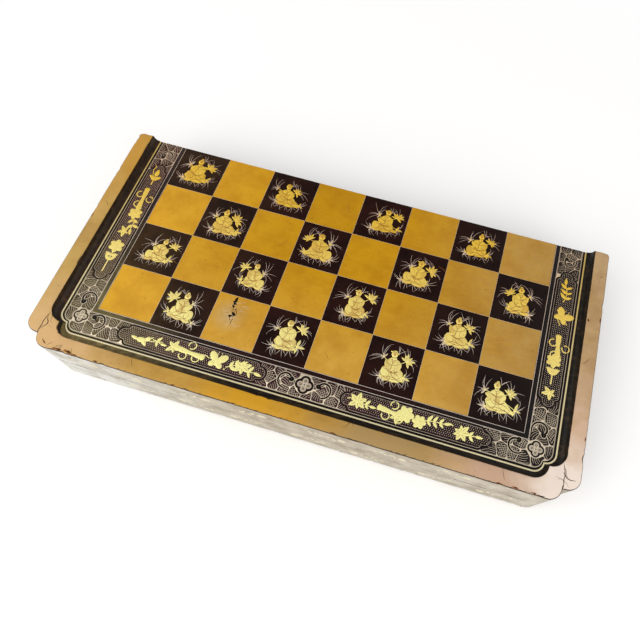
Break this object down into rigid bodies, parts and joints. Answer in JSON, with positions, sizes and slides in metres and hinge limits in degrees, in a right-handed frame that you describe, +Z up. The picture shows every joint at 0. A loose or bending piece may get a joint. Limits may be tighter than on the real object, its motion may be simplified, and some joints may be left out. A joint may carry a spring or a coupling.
{
  "type": "folding chess and backgammon box",
  "caption": "Lacquered wooden games box in two hinged trays: a chess board within raised rims outside when it is opened flat, and a backgammon board inside.",
  "frame": {"origin": "under the middle of the closed box's bounding box, on the surface it lies on", "axes": "+X along the fold, to the right seen from the front; +Y from the front wall to the hinges; +Z up"},
  "size_m": [0.472, 0.2389, 0.06],
  "materials": {
    "rim_lacquer": "worn yellow ochre lacquer, satin",
    "board_lacquer": "brown-black lacquer with gilt painting, glossy",
    "cove_lacquer": "black lacquer, glossy",
    "case_lacquer": "brown-black lacquer, satin",
    "hinge_brass": "aged brass",
    "brass_screw": "aged brass"
  },
  "bodies": {
    "lower_half": {"lower_board": "board_lacquer", "lower_front_wall": "rim_lacquer", "lower_left_wall": "rim_lacquer", "lower_right_wall": "rim_lacquer", "lower_hinge_wall": "case_lacquer", "lower_left_post": "rim_lacquer", "lower_right_post": "rim_lacquer", "lower_left_cove": "cove_lacquer", "lower_front_cove": "cove_lacquer", "lower_right_cove": "cove_lacquer", "left_hinge_lower_leaf": "hinge_brass", "right_hinge_lower_leaf": "hinge_brass", "left_hinge_pin": "hinge_brass", "right_hinge_pin": "hinge_brass", "left_hinge_lower_screws": "brass_screw", "right_hinge_lower_screws": "brass_screw"},
    "upper_half": {"upper_board": "board_lacquer", "upper_front_wall": "rim_lacquer", "upper_left_wall": "rim_lacquer", "upper_right_wall": "rim_lacquer", "upper_hinge_wall": "case_lacquer", "upper_left_post": "rim_lacquer", "upper_right_post": "rim_lacquer", "upper_left_cove": "cove_lacquer", "upper_front_cove": "cove_lacquer", "upper_right_cove": "cove_lacquer", "left_hinge_upper_leaf": "hinge_brass", "right_hinge_upper_leaf": "hinge_brass", "left_hinge_upper_screws": "brass_screw", "right_hinge_upper_screws": "brass_screw"}
  },
  "joints": [
    {"name": "lid_hinge", "type": "hinge", "parent": "lower_half", "child": "upper_half", "pos_m": [0, 0.11685, 0.03], "axis": [-1, 0, 0], "range_deg": [0, 180]}
  ]
}
